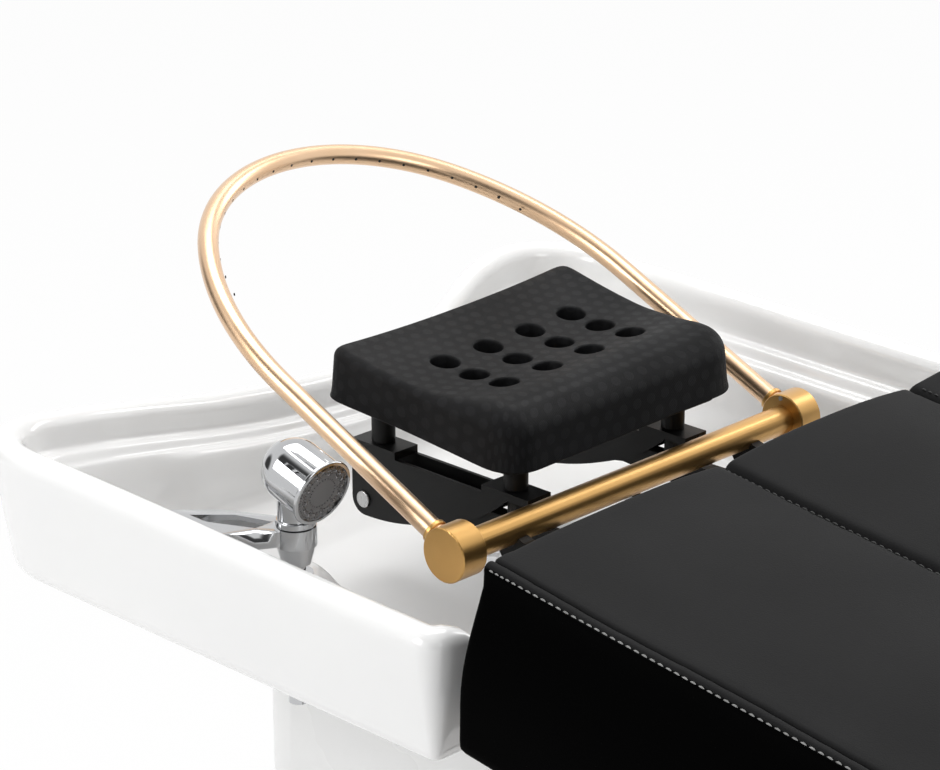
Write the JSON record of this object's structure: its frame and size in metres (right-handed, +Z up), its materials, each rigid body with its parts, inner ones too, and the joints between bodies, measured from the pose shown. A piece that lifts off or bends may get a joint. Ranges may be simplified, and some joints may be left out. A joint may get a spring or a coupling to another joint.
{
  "type": "hair washing bed",
  "caption": "Padded washing couch with a glazed basin on a pedestal, a swinging water arch on a cross bar, a tilting perforated headrest and a lift-out hand shower.",
  "frame": {"origin": "centre of the bounding box, on the floor", "axes": "+Y along the couch towards the basin, +X across it to the far side, +Z up"},
  "size_m": [0.67, 1.989, 0.788],
  "materials": {
    "black_leather": "fine grained, matte, pale contrast stitching",
    "plywood": "sanded plywood",
    "black_steel": "black powder coat",
    "black_rubber": "matte",
    "black_foam": "soft moulded, fine embossed pattern",
    "white_ceramic": "gloss white glaze",
    "white_shell": "gloss white",
    "gold_satin": "satin gold plating on stainless steel",
    "champagne_satin": "satin champagne gold plating on stainless steel",
    "chrome": "polished",
    "steel": "satin",
    "grey_plastic": "moulded"
  },
  "bodies": {
    "bed": {"seat_cushion": "black_leather", "back_cushion": "black_leather", "seat_board": "plywood", "back_board": "plywood", "rail_near": "black_steel", "rail_far": "black_steel", "crossbar_foot": "black_steel", "crossbar_mid": "black_steel", "crossbar_head": "black_steel", "leg_foot_near": "black_steel", "leg_foot_far": "black_steel", "leg_head_near": "black_steel", "leg_head_far": "black_steel", "stretcher_foot": "black_steel", "stretcher_head": "black_steel", "levelling_feet": "black_rubber", "basin": "white_ceramic", "pedestal": "white_shell", "access_panel": "white_shell", "panel_screws": "steel", "drain_flange": "chrome", "waste_trap": "grey_plastic", "bar_tube": "gold_satin", "bar_collars": "steel", "bar_bracket_near": "black_steel", "bar_bracket_far": "black_steel", "feed_pipe": "chrome", "tie_plate_near": "black_steel", "tie_plate_far": "black_steel", "headrest_arm_near": "black_steel", "headrest_arm_far": "black_steel", "rest_stops": "black_rubber", "shower_holder": "chrome", "hose_guide": "chrome", "mixer_body": "chrome"},
    "arch": {"arch_tube": "champagne_satin", "arch_ferrules": "gold_satin", "cap_near": "gold_satin", "cap_far": "gold_satin", "cap_flange_near": "gold_satin", "cap_flange_far": "gold_satin", "cap_screws": "steel"},
    "headrest": {"channel_near": "black_steel", "channel_far": "black_steel", "pivot_bolts": "steel", "channel_screws": "steel", "headrest_posts": "black_steel", "headrest_base": "black_steel", "headrest_pad": "black_foam"},
    "shower": {"shower_body": "chrome", "shower_bezel": "chrome", "shower_face": "steel", "hose_nut": "chrome", "shower_hose": "chrome"},
    "strainer": {"strainer": "chrome"},
    "knob_hot": {"knob_hot": "chrome"},
    "knob_cold": {"knob_cold": "chrome"}
  },
  "joints": [
    {"name": "arch_swing", "type": "hinge", "parent": "bed", "child": "arch", "pos_m": [0, 0.61, 0.612], "axis": [1, 0, 0], "range_deg": [0, 46]},
    {"name": "headrest_tilt", "type": "hinge", "parent": "bed", "child": "headrest", "pos_m": [0, 0.791, 0.574], "axis": [-1, 0, 0], "range_deg": [0, 12]},
    {"name": "shower_lift", "type": "slide", "parent": "bed", "child": "shower", "axis": [0, 0, 1], "range_m": [0, 0.06]},
    {"name": "strainer_lift", "type": "slide", "parent": "bed", "child": "strainer", "axis": [0, 0, 1], "range_m": [0, 0.06]},
    {"name": "hot_turn", "type": "hinge", "parent": "bed", "child": "knob_hot", "pos_m": [-0.077, 0.932, 0.396], "axis": [-1, 0, 0], "range_deg": [0, 90]},
    {"name": "cold_turn", "type": "hinge", "parent": "bed", "child": "knob_cold", "pos_m": [0.077, 0.932, 0.396], "axis": [1, 0, 0], "range_deg": [0, 90]}
  ]
}
